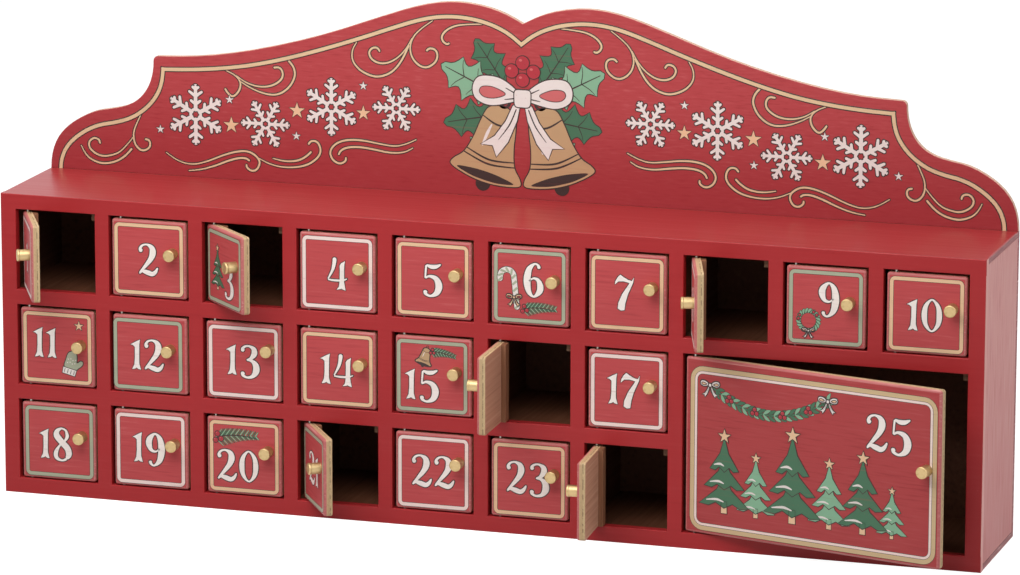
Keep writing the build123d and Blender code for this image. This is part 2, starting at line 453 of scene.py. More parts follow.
def readDoor(joint):
    body = joint["child"]
    number = int(body.split("_")[1])
    pin = Matrix.Translation(Vector(joint["pos_m"]))
    swing = pin @ Matrix.Rotation(math.radians(joint["range_deg"][0]), 4, "Z") @ pin.inverted()
    low, high = shutBox(body + "_panel", swing.inverted())
    knobLow, knobHigh = shutBox(body + "_knob", swing.inverted())
    corner = Vector((low.x, frameLow.y, low.z))
    lottery, shift = random.Random(number), doorMake["grainShift"]
    return {
        "number": number, "body": body, "placement": swing @ Matrix.Translation(corner) @ upright,
        "width": (high.x - low.x) / mm, "height": (high.z - low.z) / mm,
        "low": low, "high": high, "pin": (joint["pos_m"][0] - low.x) / mm,
        "knob": (((knobLow + knobHigh) / 2 - corner).xz) / mm,
        "knobRadius": (knobHigh.z - knobLow.z) / 2 / mm, "knobLength": (frameLow.y - knobLow.y) / mm,
        "offset": (lottery.uniform(-shift, shift), lottery.uniform(-shift, shift), 0.0),
    }


doors = [readDoor(joint) for joint in frame["joints"]]


# Face frame: one panel with an opening for each door
frameMake = {"ease": 0.4}


def buildFaceFrame():
    gaps = ("hingeGap", "sideGap", "bottomGap", "topGap")
    left, right, below, above = (doorMake[key] * mm for key in gaps)
    openings = []
    for door in doors:
        low, high = door["low"], door["high"]
        openings.append((low.x - left, high.x + right, low.z - below, high.z + above))
    xs = sorted({round(x, 5) for opening in openings for x in opening[:2]} | {frameLow.x, frameHigh.x})
    zs = sorted({round(z, 5) for opening in openings for z in opening[2:]} | {frameLow.z, frameHigh.z})

    def solid(i, k):
        if not (0 <= i < len(xs) - 1 and 0 <= k < len(zs) - 1):
            return False
        x = (xs[i] + xs[i + 1]) / 2
        z = (zs[k] + zs[k + 1]) / 2
        return not any(o[0] < x < o[1] and o[2] < z < o[3] for o in openings)

    shape = bmesh.new()
    spots = {}

    def spot(i, k, y):
        if (i, k, y) not in spots:
            spots[i, k, y] = shape.verts.new((xs[i], y, zs[k]))
        return spots[i, k, y]

    front, back = frameLow.y, frameHigh.y
    for i in range(len(xs) - 1):
        for k in range(len(zs) - 1):
            if not solid(i, k):
                continue
            ring = [(i, k), (i + 1, k), (i + 1, k + 1), (i, k + 1)]
            shape.faces.new([spot(*at, front) for at in ring])
            shape.faces.new([spot(*at, back) for at in reversed(ring)])
            beside = [(i, k - 1), (i + 1, k), (i, k + 1), (i - 1, k)]
            for side, neighbour in enumerate(beside):
                if not solid(*neighbour):
                    one, two = ring[side], ring[(side + 1) % 4]
                    corners = ((one, front), (one, back), (two, back), (two, front))
                    shape.faces.new([spot(*at, y) for at, y in corners])
    bmesh.ops.recalc_face_normals(shape, faces=shape.faces)
    ease(shape, frameMake["ease"], lambda middle: abs(middle.y - front) < nearby / 10)

    def choose(normal, centre):
        if atCaseEnd(normal, centre):
            return 2
        if normal.z > squareOn and centre.z > caseTop - nearby:
            return 1
        return 3 if normal.y > squareOn else 0

    paintFaces(shape, choose)
    slots = ["framePaint", "topPaint", "frameEndPaint", "innerWood"]
    newPiece("faceFrame", shape, slots, "cabinet", ["face_frame"])


# Case boards: painted outside, dark inside
boardMake = {"topEase": 0.6, "ease": 0.35, "crestEase": 0.45, "painted": 0.3}


def buildLevelBoard(name, node, paint, easing, up):  # the top board, or with up -1 the bottom one
    shape = nodeCopy(node)
    outside = max(caseTop * up, 0.0) - nearby
    behindFrame = frameHigh.y + nearby
    ease(shape, easing, lambda middle: middle.z * up > outside and middle.y > behindFrame)

    def choose(normal, centre):
        if atCaseEnd(normal, centre):
            return 1
        return 0 if normal.z * up > boardMake["painted"] else 2

    paintFaces(shape, choose)
    newPiece(name, shape, [paint, "endPaint", "innerWood"], "cabinet", [node])


def buildSide(name, node, outward):
    shape = nodeCopy(node)
    ease(shape, boardMake["ease"], lambda middle: middle.x * outward > frameHigh.x - nearby)
    paintFaces(shape, lambda normal, centre: 0 if normal.x * outward > boardMake["painted"] else 1)
    newPiece(name, shape, ["sidePaint", "innerWood"], "cabinet", [node])


crestPlacement = Matrix.Translation((0, boardLow.y, caseTop)) @ upright


def buildBackBoard():
    shape = nodeCopy("back_board")
    bmesh.ops.transform(shape, matrix=crestPlacement.inverted(), verts=shape.verts)
    ease(shape, boardMake["crestEase"], lambda middle: True)
    everything = shape.verts[:] + shape.edges[:] + shape.faces[:]
    bmesh.ops.bisect_plane(shape, geom=everything, plane_co=(0, 0, 0), plane_no=(0, 1, 0))

    def choose(normal, centre):
        if normal.z > squareOn:
            return 0 if centre.y > 0 else 3
        if normal.z < -squareOn:
            return 2
        # below the case top the edges take the dark end paint as painted shade
        return 1 if centre.y > 0 else 4

    paintFaces(shape, choose)
    slots = ["crestPaint", "crestEdge", "backWood", "innerWood", "endPaint"]
    newPiece("backBoard", shape, slots, "cabinet", ["back_board"], crestPlacement)


buildFaceFrame()
buildLevelBoard("topBoard", "top_board", "topPaint", boardMake["topEase"], 1)
buildLevelBoard("bottomBoard", "bottom_board", "framePaint", boardMake["ease"], -1)
buildSide("leftSide", "left_side", -1)
buildSide("rightSide", "right_side", 1)
buildBackBoard()
keptNodes = {
    "shelves": "innerWood", "dividers": "innerWood", "door_stops": "stopWood", "hinge_pins": "pinSteel",
}
for node, finish in keptNodes.items():
    nodes[node].data.materials.clear()
    nodes[node].data.materials.append(finishes[finish])
print("case built")


# Doors: bevelled panels with a cleat behind the hinge edge, and turned knobs
def roundedLoop(width, height, inset, radius, steps):
    radius = max(radius - inset, 0.3)
    reach = inset + radius
    right, top = width - reach, height - reach
    centres = [(right, top), (reach, top), (reach, reach), (right, reach)]
    points = []
    for quarter, (x, y) in enumerate(centres):
        for step in range(steps + 1):
            angle = math.radians(90) * (quarter + step / steps)
            points.append((x + radius * math.cos(angle), y + radius * math.sin(angle)))
    return points


def stackLoops(shape, loops, indices):  # closed skin through rings of points, capped at both ends
    rings = [[shape.verts.new(Vector(point) * mm) for point in loop] for loop in loops]
    for level, index in zip(range(len(rings) - 1), indices[1:]):
        upper, lower = rings[level], rings[level + 1]
        for at in range(len(upper)):
            after = (at + 1) % len(upper)
            shape.faces.new((upper[after], upper[at], lower[at], lower[after])).material_index = index
    shape.faces.new(rings[0]).material_index = indices[0]
    shape.faces.new(list(reversed(rings[-1]))).material_index = indices[-1]


def buildCleat(door):
    make = doorMake
    cleat = bmesh.new()
    size = Vector((make["cleatWidth"], door["height"], make["cleatThickness"] + make["cleatSunk"]))
    left = door["pin"] + make["cleatFromPin"]
    depth = -make["thickness"] + make["cleatSunk"] - size.z / 2
    bmesh.ops.create_cube(cleat, size=1.0)
    bmesh.ops.scale(cleat, vec=size * mm, verts=cleat.verts)
    bmesh.ops.translate(cleat, vec=Vector((left + size.x / 2, size.y / 2, depth)) * mm, verts=cleat.verts)
    ease(cleat, make["cleatEase"], lambda spot: True)
    for face in cleat.faces:
        # the cleat takes the door back's wood painted darker as shade
        face.material_index = 4
    mesh = bpy.data.meshes.new("cleat")
    cleat.to_mesh(mesh)
    cleat.free()
    return mesh


def buildPanel(door):
    make = doorMake
    bevel, steps, thick, easing = make["bevel"], make["bevelSteps"], make["thickness"], make["backEase"]
    profile = []
    for step in range(steps + 1):
        angle = math.radians(90) * step / steps
        profile.append((bevel * (1 - math.sin(angle)), bevel * (1 - math.cos(angle))))
    profile += [(0, thick - easing), (easing * 0.3, thick - easing * 0.3), (easing, thick)]
    loops = []
    for inset, depth in profile:
        ring = roundedLoop(door["width"], door["height"], inset, make["corner"], make["cornerSteps"])
        loops.append([(x, y, -depth) for x, y in ring])
    shape = bmesh.new()
    stackLoops(shape, loops, [0] + [1] * steps + [2, 2, 3, 3])
    cleat = buildCleat(door)
    shape.from_mesh(cleat)
    bpy.data.meshes.remove(cleat)
    bmesh.ops.recalc_face_normals(shape, faces=shape.faces)
    face = "largePaint" if door["number"] == len(doors) else "doorPaint"
    slots = [face, "bevelPaint", "doorEdge", "backWood", "cleatWood"]
    newPiece(
        door["body"] + "_leaf", shape, slots, door["body"], [door["body"] + "_panel"],
        door["placement"], door["offset"],
    )


knobMake = {  # face is where the dished face's middle ring lies, waist where the shaft starts
    "steps": 40, "rim": 0.7, "dish": 0.16, "flare": 0.2, "sunk": 0.3, "face": 0.45, "head": 1.1, "waist": 1.7,
}


def buildKnob(door):
    make = knobMake
    radius, length, rim, dish = door["knobRadius"], door["knobLength"], make["rim"], make["dish"]
    profile = [(0.05, length - dish), (radius * make["face"], length - dish * 0.9)]
    profile += [(radius - rim * 1.6, length - dish * 0.3), (radius - rim, length)]
    for step in range(1, 5):
        angle = math.radians(22.5 * step)
        profile.append((radius - rim + rim * math.sin(angle), length - rim + rim * math.cos(angle)))
    shaft = radius - make["flare"]
    profile += [(radius, length - make["head"]), (shaft, length - make["waist"]), (shaft, 0.0)]
    profile.append((shaft * 0.9, -make["sunk"]))
    turn = [math.radians(360) * step / make["steps"] for step in range(make["steps"])]
    loops = [[(reach * math.cos(a), reach * math.sin(a), out) for a in turn] for reach, out in profile]
    shape = bmesh.new()
    stackLoops(shape, loops, [0] * (len(loops) + 1))
    bmesh.ops.recalc_face_normals(shape, faces=shape.faces)
    centre = Matrix.Translation(Vector((door["knob"].x, door["knob"].y, 0)) * mm)
    newPiece(
        door["body"] + "_turnedKnob", shape, ["knobBrass"], door["body"],
        [door["body"] + "_knob"], door["placement"] @ centre,
    )


for door in doors:
    buildPanel(door)
    buildKnob(door)
print("doors and knobs built:", len(doors))


# Printed work: thin films of ink made by two node trees, from curves drawn in millimetres
filmMake = {  # millimetres; tip is the least share of a line's width at its end, top that of its upper face
    "step": 0.35, "layer": 0.016, "ply": 0.2, "sink": 0.02, "tip": 0.06, "top": 0.92,
}
treeInputs = {
    "Step": "NodeSocketFloat", "Spread": "NodeSocketFloat", "Lift": "NodeSocketFloat",
    "Sink": "NodeSocketFloat", "Smooth": "NodeSocketBool", "Blunt": "NodeSocketBool",
    "Ink": "NodeSocketMaterial",
}


def newTree(name):
    tree = bpy.data.node_groups.new(name, "GeometryNodeTree")
    for direction in ("INPUT", "OUTPUT"):
        tree.interface.new_socket(name="Geometry", in_out=direction, socket_type="NodeSocketGeometry")
    for label, kind in treeInputs.items():
        tree.interface.new_socket(name=label, in_out="INPUT", socket_type=kind)
    graph = Graph(tree)
    names = ("Geometry", *treeInputs)
    inputs = dict(zip(names, graph.node("NodeGroupInput", {}, {}, names)))
    rounding = {"spline_type": "CATMULL_ROM"}
    rounded = graph.node("GeometryNodeCurveSplineType", rounding, {"Curve": inputs["Geometry"]})
    evened = {"Curve": rounded, "Length": inputs["Step"]}
    rounded = graph.node("GeometryNodeResampleCurve", {"mode": "LENGTH"}, evened)
    choice = {"Switch": inputs["Smooth"], "False": inputs["Geometry"], "True": rounded}
    path = graph.node("GeometryNodeSwitch", {"input_type": "GEOMETRY"}, choice)
    return graph, inputs, path


def endTree(graph, inputs, film):
    film = graph.node("GeometryNodeRealizeInstances", {}, {"Geometry": film})
    film = graph.node("GeometryNodeSetMaterial", {}, {"Geometry": film, "Material": inputs["Ink"]})
    graph.node("NodeGroupOutput", {}, {"Geometry": film}, None)
    return graph.tree


def lineTree():  # a film along each curve, as wide as the curve's radius, with round or blunt ends
    graph, inputs, path = newTree("paintedLine")
    path = graph.node("GeometryNodeSetCurveNormal", {"mode": "Z_UP"}, {"Curve": path})
    done = graph.node("GeometryNodeSplineParameter", {}, {}, "Length")
    whole = graph.node("GeometryNodeSplineLength", {}, {}, "Length")
    half = graph.node("GeometryNodeInputRadius") + inputs["Spread"]
    reach = (done.least(whole - done) / half).least(1.0)
    tip = ((reach * (2 - reach)) ** 0.5).most(filmMake["tip"])
    square = graph.node("GeometryNodeInputSplineCyclic").most(inputs["Blunt"])
    top = filmMake["top"]
    corners = {"Point 1": (-1, 0, 0), "Point 2": (-top, 1, 0), "Point 3": (top, 1, 0), "Point 4": (1, 0, 0)}
    profile = graph.node("GeometryNodeCurvePrimitiveQuadrilateral", {"mode": "POINTS"}, corners)
    swept = {"Curve": path, "Profile Curve": profile, "Scale": half * tip.most(square), "Fill Caps": True}
    film = graph.node("GeometryNodeCurveToMesh", {}, swept)
    x, y, z = graph.split(graph.node("GeometryNodeInputPosition"))
    level = (abs(z) > 1e-7) * (inputs["Lift"] + inputs["Sink"]) - inputs["Sink"]
    flat = graph.join(x, y, level)
    film = graph.node("GeometryNodeSetPosition", {}, {"Geometry": film, "Position": flat})
    return endTree(graph, inputs, film)


def patchTree():  # a film inside each closed curve
    graph, inputs, path = newTree("paintedPatch")
    flat = graph.node("GeometryNodeFillCurve", {"mode": "NGONS"}, {"Curve": path})
    rise = {"Mesh": flat, "Offset": (0, 0, 1), "Individual": False}
    rise["Offset Scale"] = inputs["Lift"] + inputs["Sink"]
    raised = graph.node("GeometryNodeExtrudeMesh", {"mode": "FACES"}, rise)
    under = graph.node("GeometryNodeFlipFaces", {}, {"Mesh": flat})
    film = graph.node("GeometryNodeJoinGeometry", {}, {"Geometry": [raised, under]})
    film = graph.node("GeometryNodeMergeByDistance", {}, {"Geometry": film, "Distance": 1e-6})
    lower = graph.join(0.0, 0.0, 0 - inputs["Sink"])
    film = graph.node("GeometryNodeSetPosition", {}, {"Geometry": film, "Offset": lower})
    return endTree(graph, inputs, film)


trees = {"line": lineTree(), "patch": patchTree()}


def stretchEnds(points, by):  # a longer copy of an open line, for the outline under it
    done = [tuple(point) for point in points]
    for end, inner in ((0, 1), (-1, -2)):
        away = Vector(done[end][:2]) - Vector(done[inner][:2])
        spot = Vector(done[end][:2]) + away.normalized() * by
        done[end] = (spot.x, spot.y, done[end][2])
    return done


class Drawing:  # lines and patches in millimetres, kept by ink and layer
    def __init__(self):
        self.groups = {}

    def add(self, kind, ink, layer, points, closed, smooth, blunt, spread=0.0):
        key = (kind, ink, layer, smooth, blunt, spread)
        self.groups.setdefault(key, []).append((points, closed))

    def line(self, ink, layer, points, half=None, closed=False, smooth=True, blunt=False, edge=0.0, ply=0):
        full = [(*point[:2], half if len(point) < 3 else point[2]) for point in points]
        layer += filmMake["ply"] * ply  # plies keep crossing lines of one figure apart
        self.add("line", ink, layer, full, closed, smooth, blunt)
        if edge:
            longer = full if closed else stretchEnds(full, edge)
            self.add("line", "line", layer - 1, longer, closed, smooth, blunt, edge)

    def shape(self, ink, layer, points, edge=0.3, smooth=True):
        full = [(*point[:2], edge) for point in points]
        self.add("patch", ink, layer, full, True, smooth, False)
        if edge:
            self.add("line", "line", layer + 1, full, True, smooth, False)

    def film(self, key, strokes):
        kind, ink, layer, smooth, blunt, spread = key
        curve = bpy.data.curves.new("strokes", "CURVE")
        curve.dimensions = "3D"
        for points, closed in strokes:
            spline = curve.splines.new("POLY")
            spline.points.add(len(points) - 1)
            for spot, (x, y, half) in zip(spline.points, points):
                spot.co = (x * mm, y * mm, 0, 1)
                spot.radius = half * mm
            spline.use_cyclic_u = closed
        holder = addObject("strokes", curve)
        modifier = holder.modifiers.new("film", "NODES")
        modifier.node_group = trees[kind]
        lift = filmMake["layer"] * (layer + 1)
        values = {
            "Step": filmMake["step"] * mm, "Spread": spread * mm, "Lift": lift * mm,
            "Sink": filmMake["sink"] * mm, "Smooth": smooth, "Blunt": blunt, "Ink": finishes[ink],
        }
        for item in trees[kind].interface.items_tree:
            if item.in_out == "INPUT" and item.name in values:
                modifier[item.identifier] = values[item.name]
        bpy.context.view_layer.update()
        mesh = bpy.data.meshes.new_from_object(holder.evaluated_get(bpy.context.evaluated_depsgraph_get()))
        bpy.data.objects.remove(holder)
        bpy.data.curves.remove(curve)
        return mesh

    def build(self, name, body, placement, offset=(0, 0, 0)):
        inks = sorted({key[1] for key in self.groups})
        shape = bmesh.new()
        for key, strokes in self.groups.items():
            mesh = self.film(key, strokes)
            before = len(shape.faces)
            shape.from_mesh(mesh)
            shape.faces.ensure_lookup_table()
            for at in range(before, len(shape.faces)):
                shape.faces[at].material_index = inks.index(key[1])
            bpy.data.meshes.remove(mesh)
        bmesh.ops.recalc_face_normals(shape, faces=shape.faces)
        return newPiece(name, shape, inks, body, (), placement, offset)


def placed(points, at=(0, 0), size=1.0, turn=0.0, flip=1):
    cos, sin = math.cos(math.radians(turn)), math.sin(math.radians(turn))
    done = []
    for x, y, *half in points:
        x, y = x * size * flip, y * size
        done.append((at[0] + x * cos - y * sin, at[1] + x * sin + y * cos, *[part * size for part in half]))
    return done


def around(at, reach, angle):
    turned = math.radians(angle)
    return (at[0] + reach * math.cos(turned), at[1] + reach * math.sin(turned))


def ellipse(at, across, tall, steps=16):
    angles = [math.radians(360) * step / steps for step in range(steps)]
    return placed([(across * math.cos(a), tall * math.sin(a)) for a in angles], at)


# Numbers: strokes and outlines of one digit's height; a stroke's points carry its half width
digitMake = {
    "height": 18.6, "width": 0.62, "gap": 0.07, "stretch": 1.08, "edge": 0.55, "layer": 4, "turned": 0.58,
}
digitStrokes = {
    "0": [
        [(0.1, 0.5, 0.09), (0.145, 0.21, 0.066), (0.31, 0.025, 0.028), (0.475, 0.21, 0.066),
         (0.52, 0.5, 0.09), (0.475, 0.79, 0.066), (0.31, 0.975, 0.028), (0.145, 0.79, 0.066),
         (0.1, 0.5, 0.09)],
    ],
    "2": [
        [(0.13, 0.735, 0.085), (0.075, 0.82, 0.055), (0.14, 0.93, 0.036), (0.28, 0.965, 0.034),
         (0.42, 0.88, 0.085), (0.455, 0.72, 0.108), (0.39, 0.52, 0.085), (0.22, 0.28, 0.055),
         (0.05, 0.07, 0.026)],
        [(0.04, 0.04, 0.026), (0.13, 0.125, 0.05), (0.28, 0.09, 0.08), (0.43, 0.05, 0.075),
         (0.53, 0.12, 0.058), (0.605, 0.26, 0.022)],
    ],
    "3": [
        [(0.13, 0.8, 0.08), (0.1, 0.88, 0.05), (0.18, 0.955, 0.034), (0.3, 0.965, 0.034),
         (0.42, 0.88, 0.08), (0.43, 0.74, 0.092), (0.33, 0.6, 0.05), (0.21, 0.55, 0.022)],
        [(0.21, 0.55, 0.022), (0.36, 0.53, 0.05), (0.475, 0.4, 0.098), (0.48, 0.22, 0.105),
         (0.38, 0.07, 0.06), (0.22, 0.025, 0.036), (0.1, 0.09, 0.05), (0.12, 0.19, 0.085)],
    ],
    "4": [
        [(0.2, 0.965, 0.065), (0.204, 0.85, 0.062), (0.153, 0.6, 0.045), (0.018, 0.315, 0.02)],
        [(0.014, 0.3, 0.02), (0.185, 0.285, 0.032), (0.417, 0.295, 0.03), (0.565, 0.355, 0.014)],
    ],
    "5": [
        [(0.13, 0.935, 0.026), (0.26, 0.885, 0.06), (0.4, 0.895, 0.06), (0.54, 0.97, 0.018)],
        [(0.13, 0.93, 0.03), (0.115, 0.75, 0.03), (0.1, 0.54, 0.026)],
        [(0.1, 0.54, 0.026), (0.22, 0.605, 0.04), (0.4, 0.54, 0.08), (0.48, 0.34, 0.11),
         (0.42, 0.13, 0.085), (0.25, 0.03, 0.036), (0.11, 0.09, 0.05), (0.12, 0.19, 0.085)],
    ],
    "6": [
        [(0.45, 0.83, 0.065), (0.42, 0.93, 0.04), (0.32, 0.965, 0.032), (0.175, 0.8, 0.085),
         (0.12, 0.48, 0.11), (0.165, 0.17, 0.08), (0.3, 0.025, 0.032), (0.445, 0.16, 0.085),
         (0.48, 0.32, 0.098), (0.42, 0.5, 0.06), (0.29, 0.55, 0.03), (0.17, 0.46, 0.022)],
    ],
    "8": [
        [(0.44, 0.8, 0.04), (0.4, 0.92, 0.036), (0.28, 0.975, 0.03), (0.155, 0.89, 0.07),
         (0.14, 0.75, 0.1), (0.28, 0.57, 0.1), (0.44, 0.39, 0.1), (0.48, 0.22, 0.095), (0.41, 0.07, 0.05)],
        [(0.42, 0.075, 0.045), (0.28, 0.022, 0.03), (0.13, 0.09, 0.06), (0.11, 0.25, 0.068),
         (0.21, 0.45, 0.034), (0.36, 0.6, 0.034), (0.44, 0.75, 0.055), (0.41, 0.9, 0.04)],
    ],
}
turned = digitMake["turned"]  # a nine is a six turned about its middle
digitStrokes["9"] = [[(turned - x, 1 - y, half) for x, y, half in stroke] for stroke in digitStrokes["6"]]
digitOutlines = {
    "1": [
        (0.328, 1.0), (0.302, 0.85), (0.291, 0.41), (0.293, 0.21), (0.348, 0.016), (0.257, 0.03),
        (0.205, 0.072), (0.149, 0.036), (0.046, 0.016), (0.124, 0.17), (0.146, 0.41), (0.146, 0.75),
        (0.08, 0.81), (0.0, 0.825), (0.169, 0.92),
    ],
    "4": [
        (0.545, 0.875), (0.525, 0.78), (0.515, 0.6), (0.515, 0.25), (0.56, 0.0), (0.455, 0.035),
        (0.43, 0.05), (0.4, 0.035), (0.28, 0.01), (0.355, 0.1), (0.375, 0.25), (0.385, 0.6), (0.38, 0.73),
        (0.42, 0.8),
    ],
    "7": [
        (0.007, 0.72), (0.018, 0.81), (0.09, 0.935), (0.16, 1.0), (0.25, 0.94), (0.38, 0.87),
        (0.485, 0.845), (0.547, 0.953), (0.52, 0.79), (0.377, 0.467), (0.305, 0.216), (0.28, 0.018),
        (0.18, 0.0), (0.09, 0.054), (0.108, 0.216), (0.216, 0.467), (0.395, 0.737), (0.414, 0.784),
        (0.252, 0.82), (0.108, 0.81),
    ],
}
digitWidths = {"0": 0.67, "1": 0.37, "2": 0.65, "4": 0.61, "7": 0.55}
digitSizes = {  # size beside the others, and drop below their foot
    "1": (0.965, 0.0), "3": (1.05, 0.07), "4": (1.05, 0.04), "5": (1.06, 0.06), "6": (1.07, 0.02),
    "7": (1.1, 0.1), "8": (1.07, 0.04), "9": (1.07, 0.1),
}


def drawDigit(drawing, digit, foot, height):
    layer, edge, stretch = digitMake["layer"], digitMake["edge"], digitMake["stretch"]
    for ply, stroke in enumerate(digitStrokes.get(digit, [])):
        wide = [(x * stretch, y, half) for x, y, half in stroke]
        closed = wide[0] == wide[-1]
        points = placed(wide[:-1] if closed else wide, foot, height)
        drawing.line("chalk", layer, points, closed=closed, edge=edge, ply=ply)
    if digit in digitOutlines:
        points = placed(digitOutlines[digit], foot, height)
        drawing.shape("chalk", layer + 0.6, points, 0, smooth=False)
        drawing.line("line", layer - 0.4, points, edge, closed=True, smooth=False)


def drawNumber(drawing, number, at, size=1.0):  # at is the number's middle
    digits, gap, height = str(number), digitMake["gap"], digitMake["height"] * size
    sizes = [digitSizes.get(digit, (1.0, 0.0)) for digit in digits]
    usual = [digitWidths.get(digit, digitMake["width"]) for digit in digits]
    widths = [width * share for width, (share, drop) in zip(usual, sizes)]
    x = at[0] - height * (sum(widths) + gap * (len(widths) - 1)) / 2
    for digit, width, (share, drop) in zip(digits, widths, sizes):
        drawDigit(drawing, digit, (x, at[1] - height * (0.5 + drop)), height * share)
        x += height * (width + gap)


# Small figures for the doors and the crest, each drawn about one unit tall
edges = {  # half the width of each figure's dark outline, in millimetres
    "star": 0.3, "flake": 0.6, "leaf": 0.28, "berry": 0.24, "bell": 0.34, "bow": 0.34, "fold": 0.26,
    "fir": 0.28, "trunk": 0.26, "cane": 0.34, "mitten": 0.3, "wreath": 0.22, "needle": 0.16, "swag": 0.3,
    "swagLeaf": 0.22,
}


class Stamp:  # a figure's place, size and turn, which all its lines and shapes share
    def __init__(self, drawing, at, size, turn=0.0, flip=1):
        self.drawing = drawing
        self.place = (at, size, turn, flip)

    def put(self, points):
        return placed(points, *self.place)

    def spot(self, x, y):
        return self.put([(x, y)])[0]

    def line(self, ink, layer, points, *width, **more):
        self.drawing.line(ink, layer, self.put(points), *width, **more)

    def shape(self, ink, layer, points, edge, smooth=True):
        self.drawing.shape(ink, layer, self.put(points), edge, smooth)


def mirrored(points):
    return [(-x, y) for x, y in reversed(points)]


def drawStar(drawing, at, size, ink="straw", layer=3):
    points = [around((0, 0), 0.21 if step % 2 else 0.5, 90 + 36 * step) for step in range(10)]
    Stamp(drawing, at, size).shape(ink, layer, points, edges["star"], smooth=False)


def drawSnowflake(drawing, at, size, turn):
    layer, edge = 4, edges["flake"]
    for arm in range(6):
        strokes = [(arm % 2, [(0, 0.05, 0.036), (0, 0.25, 0.033), (0, 0.48, 0.03)])]
        for start, reach in ((0.17, 0.11), (0.30, 0.14), (0.415, 0.075)):
            for ply, side in ((2, -1), (3, 1)):
                tip = (side * reach * 0.87, start + reach * 0.62, 0.022)
                strokes.append((ply, [(0, start, 0.029), tip]))
        strokes.append((4, [(0, 0.475, 0.05), (0, 0.5, 0.05)]))
        stamp = Stamp(drawing, at, size, turn + 60 * arm)
        for ply, stroke in strokes:
            stamp.line("snow", layer, stroke, edge=edge, ply=ply)
    hub = ellipse((0, 0), 0.085, 0.085)
    Stamp(drawing, at, size).line("snow", layer, hub, 0.026 * size, True, edge=edge, ply=4)


def drawHollyLeaf(drawing, at, size, turn, ink, layer):
    width, spikes, steps = 0.33, 4, 24
    side = []
    for step in range(steps + 1):
        share = step / steps
        dip = 1 - 0.45 * math.sin(math.pi * ((share * spikes) % 1))
        side.append((width * math.sin(math.pi * share) ** 0.7 * dip, share))
    stamp = Stamp(drawing, at, size, turn)
    stamp.shape(ink, layer, side + mirrored(side[1:-1]), edges["leaf"], smooth=False)
    stamp.line("line", layer + 1, [(0, -0.08, 0.016), (0.01, 0.4, 0.012), (0, 0.93, 0.006)])
    for rib in range(1, spikes):
        start = rib / spikes - 0.14
        vein = [(0, start, 0.008), (0.12, start + 0.08, 0.006), (0.22, start + 0.12, 0.004)]
        for flip in (-1, 1):
            Stamp(drawing, at, size, turn, flip).line("line", layer + 1, vein)


def drawBerry(drawing, at, radius, layer):
    stamp = Stamp(drawing, at, radius)
    drawing.shape("berry", layer, ellipse(at, radius, radius, 12), edges["berry"])
    stamp.shape("rose", layer + 2, ellipse((-0.3, 0.35), 0.24, 0.18, 8), 0)
    stamp.line("line", layer + 2, [(0.25, -0.3), (0.4, -0.2)], 0.12)


def drawBell(drawing, at, size, turn, layer=2):
    stamp = Stamp(drawing, at, size, turn)
    side = [(0.09, 1.0), (0.2, 0.93), (0.25, 0.75), (0.29, 0.5), (0.36, 0.28), (0.47, 0.15), (0.5, 0.07)]
    side += [(0.42, 0.02), (0.2, -0.03)]
    outline = [(0, 1.02)] + side + [(0, -0.045)] + mirrored(side)
    drawing.shape("line", layer, ellipse(stamp.spot(0, -0.06), 0.1 * size, 0.1 * size, 12), 0)  # the clapper
    stamp.shape("tan", layer + 1, outline, edges["bell"])
    mouth = [(0.4, 0.055), (0.2, 0.0), (0, -0.012), (-0.2, 0.0)]
    mouth += [(-0.4, 0.055), (-0.2, 0.095), (0, 0.105), (0.2, 0.095)]
    stamp.shape("line", layer + 3, mouth, 0)
    for level, reach in ((0.24, 0.37), (0.3, 0.335), (0.78, 0.235)):
        band = [(-reach, level + 0.035, 0.008), (0, level - 0.03, 0.014), (reach, level + 0.035, 0.008)]
        stamp.line("line", layer + 3, band)
    stamp.line("snow", layer + 3, [(-0.14, 0.42, 0.012), (-0.115, 0.6, 0.022), (-0.085, 0.74, 0.01)])
    stamp.line("line", layer + 1, ellipse((0, 1.07), 0.07, 0.07, 10), 0.02 * size, True)


def drawBow(drawing, at, size, ink, layer, shade):
    loop = [(0.02, 0.02), (0.2, 0.24), (0.5, 0.4), (0.86, 0.4)]
    loop += [(1.0, 0.2), (0.94, -0.04), (0.66, -0.16), (0.28, -0.1)]
    hollow = [(0.34, 0.08), (0.58, 0.2), (0.8, 0.2), (0.86, 0.1), (0.76, 0.0), (0.54, -0.01)]
    tail = [(0.02, -0.02), (0.2, -0.14), (0.34, -0.44), (0.56, -0.74), (0.84, -0.92)]
    tail += [(0.6, -0.94), (0.52, -1.16), (0.28, -0.86), (0.1, -0.44)]
    for flip in (-1, 1):
        stamp = Stamp(drawing, at, size, 0, flip)
        stamp.shape(ink, layer, tail, edges["bow"], smooth=False)
        stamp.line("line", layer + 1, [(0.12, -0.2, 0.012), (0.26, -0.52, 0.014), (0.48, -0.82, 0.006)])
        stamp.shape(ink, layer + 2, loop, edges["bow"])
        stamp.shape(shade, layer + 3, hollow, edges["fold"])
        for crease in ([(0.14, 0.1, 0.014), (0.34, 0.2, 0.008)], [(0.16, 0.0, 0.014), (0.36, -0.03, 0.008)]):
            stamp.line("line", layer + 4, crease)
    knot = [(0.15, 0.16), (0.17, 0), (0.14, -0.15), (0, -0.17)]
    knot += [(-0.14, -0.15), (-0.17, 0), (-0.15, 0.16), (0, 0.18)]
    Stamp(drawing, at, size).shape(ink, layer + 5, knot, edges["bow"])


